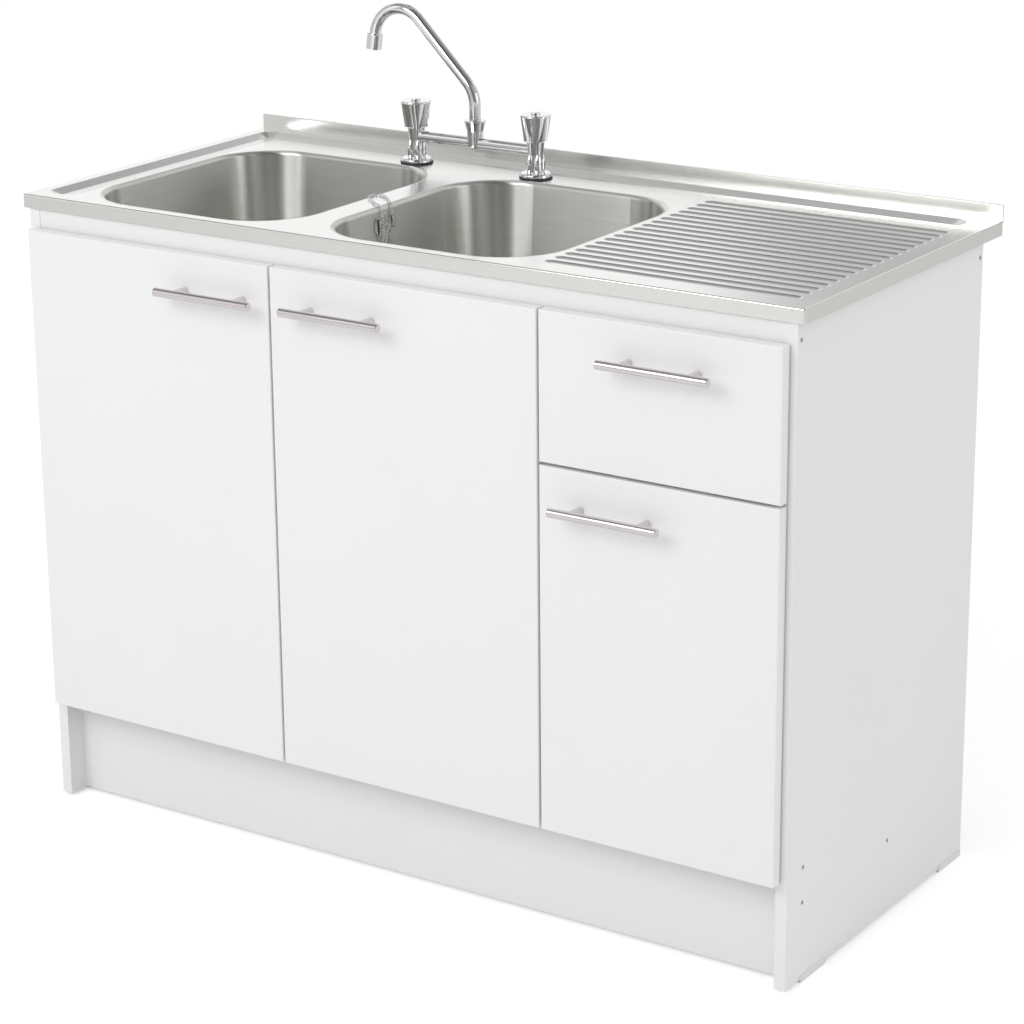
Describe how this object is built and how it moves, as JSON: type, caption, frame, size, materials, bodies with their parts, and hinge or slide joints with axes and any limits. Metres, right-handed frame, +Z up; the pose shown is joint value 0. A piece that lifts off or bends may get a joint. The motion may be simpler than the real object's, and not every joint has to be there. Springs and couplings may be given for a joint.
{
  "type": "kitchen sink unit",
  "caption": "Double-bowl steel kitchen sink with drainer and bridge tap on a white cupboard with doors and a drawer, all of which open.",
  "frame": {"origin": "on the floor, in the middle of the unit's plan, handles included", "axes": "+X along the front towards the drainer, -Y towards the person at the sink, +Z up"},
  "size_m": [1.2, 0.5835, 1.1028],
  "materials": {
    "pressed_steel": "satin brushed",
    "chrome": "polished",
    "nickel": "satin nickel",
    "hardware_steel": "zinc plated",
    "white_board": "white melamine",
    "bare_wood": "planed",
    "black_rubber": "matt",
    "white_plastic": "satin"
  },
  "bodies": {
    "cabinet": {"sink_top": "pressed_steel", "left_bowl": "pressed_steel", "right_bowl": "pressed_steel", "left_waste": "chrome", "right_waste": "chrome", "waste_washers": "black_rubber", "waste_nuts": "white_plastic", "overflow_plate": "chrome", "overflow_pipe": "white_plastic", "plug": "black_rubber", "plug_chain": "chrome", "tap_left_body": "chrome", "tap_right_body": "chrome", "tap_gaskets": "black_rubber", "tap_backnuts": "hardware_steel", "tap_bridge": "chrome", "tap_collar_nut": "chrome", "left_side_panel": "white_board", "right_side_panel": "white_board", "partition": "white_board", "bottom_panel": "white_board", "kick_board": "white_board", "front_top_rail": "white_board", "rear_top_rail": "white_board", "cross_rail": "white_board", "back_panel": "white_board", "underlay_battens": "bare_wood", "foot_shoes": "white_plastic", "carcass_screws": "hardware_steel", "hinge_arms": "hardware_steel", "cabinet_runners": "hardware_steel"},
    "spout": {"tap_spout": "chrome", "spout_aerator": "chrome"},
    "left_tap_head": {"left_knob": "chrome", "left_knob_cap": "chrome", "left_spindle": "hardware_steel"},
    "right_tap_head": {"right_knob": "chrome", "right_knob_cap": "chrome", "right_spindle": "hardware_steel"},
    "left_door_links": {"left_door_hinge_links": "hardware_steel"},
    "left_door": {"left_door": "white_board", "left_door_handle": "nickel", "left_door_hinge_cups": "hardware_steel"},
    "middle_door_links": {"middle_door_hinge_links": "hardware_steel"},
    "middle_door": {"middle_door": "white_board", "middle_door_handle": "nickel", "middle_door_hinge_cups": "hardware_steel"},
    "small_door_links": {"small_door_hinge_links": "hardware_steel"},
    "small_door": {"small_door": "white_board", "small_door_handle": "nickel", "small_door_hinge_cups": "hardware_steel"},
    "drawer": {"drawer_front": "white_board", "drawer_handle": "nickel", "drawer_left_side": "white_board", "drawer_right_side": "white_board", "drawer_back": "white_board", "drawer_bottom": "white_board", "drawer_runners": "hardware_steel"}
  },
  "joints": [
    {"name": "left_door_link", "type": "hinge", "parent": "cabinet", "child": "left_door_links", "pos_m": [-0.5605, -0.23775, 0.4], "axis": [0, 0, 1], "range_deg": [0, 47.9]},
    {"name": "left_door_swing", "type": "hinge", "parent": "left_door_links", "child": "left_door", "pos_m": [-0.571, -0.24725, 0.4], "axis": [0, 0, -1], "range_deg": [0, 142.8]},
    {"name": "middle_door_link", "type": "hinge", "parent": "cabinet", "child": "middle_door_links", "pos_m": [0.2185, -0.23775, 0.4], "axis": [0, 0, -1], "range_deg": [0, 47.9]},
    {"name": "middle_door_swing", "type": "hinge", "parent": "middle_door_links", "child": "middle_door", "pos_m": [0.229, -0.24725, 0.4], "axis": [0, 0, 1], "range_deg": [0, 142.8]},
    {"name": "small_door_link", "type": "hinge", "parent": "cabinet", "child": "small_door_links", "pos_m": [0.5605, -0.23775, 0.4], "axis": [0, 0, -1], "range_deg": [0, 47.9]},
    {"name": "small_door_swing", "type": "hinge", "parent": "small_door_links", "child": "small_door", "pos_m": [0.571, -0.24725, 0.4], "axis": [0, 0, 1], "range_deg": [0, 142.8]},
    {"name": "drawer_slide", "type": "slide", "parent": "cabinet", "child": "drawer", "axis": [0, 1, 0], "range_m": [-0.3, 0]},
    {"name": "left_tap_turn", "type": "hinge", "parent": "cabinet", "child": "left_tap_head", "pos_m": [-0.2605, 0.20225, 0.95], "axis": [0, 0, 1], "range_deg": [0, 540]},
    {"name": "right_tap_turn", "type": "hinge", "parent": "cabinet", "child": "right_tap_head", "pos_m": [-0.0605, 0.20225, 0.95], "axis": [0, 0, 1], "range_deg": [0, 540]},
    {"name": "spout_swivel", "type": "hinge", "parent": "cabinet", "child": "spout", "pos_m": [-0.1605, 0.20225, 0.93], "axis": [0, 0, 1], "range_deg": [0, 180]}
  ],
  "couplings": [
    {"joint": "left_door_link", "follows": "left_door_swing", "ratio": 0.33502},
    {"joint": "middle_door_link", "follows": "middle_door_swing", "ratio": 0.33502},
    {"joint": "small_door_link", "follows": "small_door_swing", "ratio": 0.33502}
  ]
}
